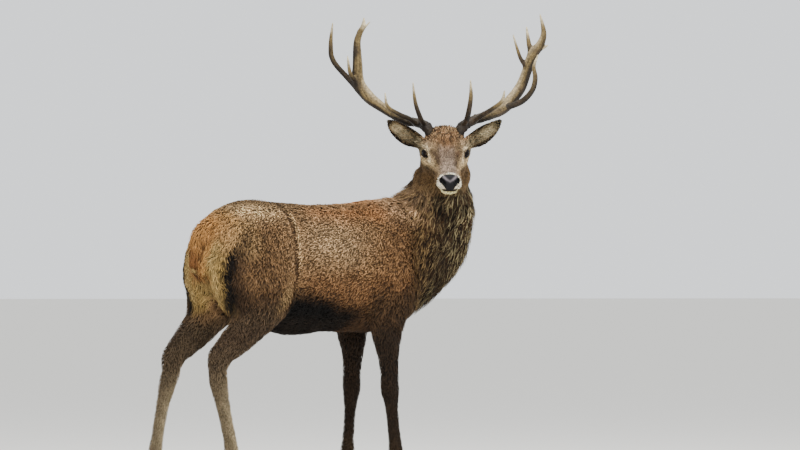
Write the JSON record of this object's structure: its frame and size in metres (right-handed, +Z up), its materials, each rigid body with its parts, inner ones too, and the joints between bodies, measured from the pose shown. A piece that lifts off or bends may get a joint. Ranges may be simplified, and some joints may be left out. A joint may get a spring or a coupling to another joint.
{
  "type": "red deer stag model",
  "caption": "Life-size still model of a red deer stag standing with its head turned back over its right shoulder, with branched antlers.",
  "frame": {"origin": "middle of the whole stag's footprint box, at the level of the soles", "axes": "+X along the trunk towards the breast, +Y to the animal's left, +Z up"},
  "size_m": [1.7599, 0.635, 1.9808],
  "materials": {
    "coat": "grey-brown autumn coat of hair",
    "eye": "dark wet gloss",
    "hoof_horn": "satin dark horn",
    "antler": "furrowed bone, dark at the root and pale at the tips"
  },
  "bodies": {
    "root": {"head": "coat", "neck": "coat", "trunk": "coat", "tail": "coat", "ear_left": "coat", "fore_leg_upper_left": "coat", "fore_leg_lower_left": "coat", "hind_leg_upper_left": "coat", "hind_leg_lower_left": "coat", "ear_right": "coat", "fore_leg_upper_right": "coat", "fore_leg_lower_right": "coat", "hind_leg_upper_right": "coat", "hind_leg_lower_right": "coat", "eye_left": "eye", "eye_right": "eye", "hoof_fore_left_inner": "hoof_horn", "dew_claw_fore_left_inner": "hoof_horn", "hoof_fore_left_outer": "hoof_horn", "dew_claw_fore_left_outer": "hoof_horn", "hoof_fore_right_inner": "hoof_horn", "dew_claw_fore_right_inner": "hoof_horn", "hoof_fore_right_outer": "hoof_horn", "dew_claw_fore_right_outer": "hoof_horn", "hoof_hind_left_inner": "hoof_horn", "dew_claw_hind_left_inner": "hoof_horn", "hoof_hind_left_outer": "hoof_horn", "dew_claw_hind_left_outer": "hoof_horn", "hoof_hind_right_inner": "hoof_horn", "dew_claw_hind_right_inner": "hoof_horn", "hoof_hind_right_outer": "hoof_horn", "dew_claw_hind_right_outer": "hoof_horn", "antler_right_beam": "antler", "antler_right_brow_tine": "antler", "antler_right_bez_tine": "antler", "antler_right_trez_tine": "antler", "antler_right_royal_tine": "antler", "antler_right_crown_tine": "antler", "antler_left_beam": "antler", "antler_left_brow_tine": "antler", "antler_left_bez_tine": "antler", "antler_left_trez_tine": "antler", "antler_left_inner_crown_tine": "antler", "antler_left_middle_crown_tine": "antler", "antler_left_outer_crown_tine": "antler"}
  },
  "joints": []
}
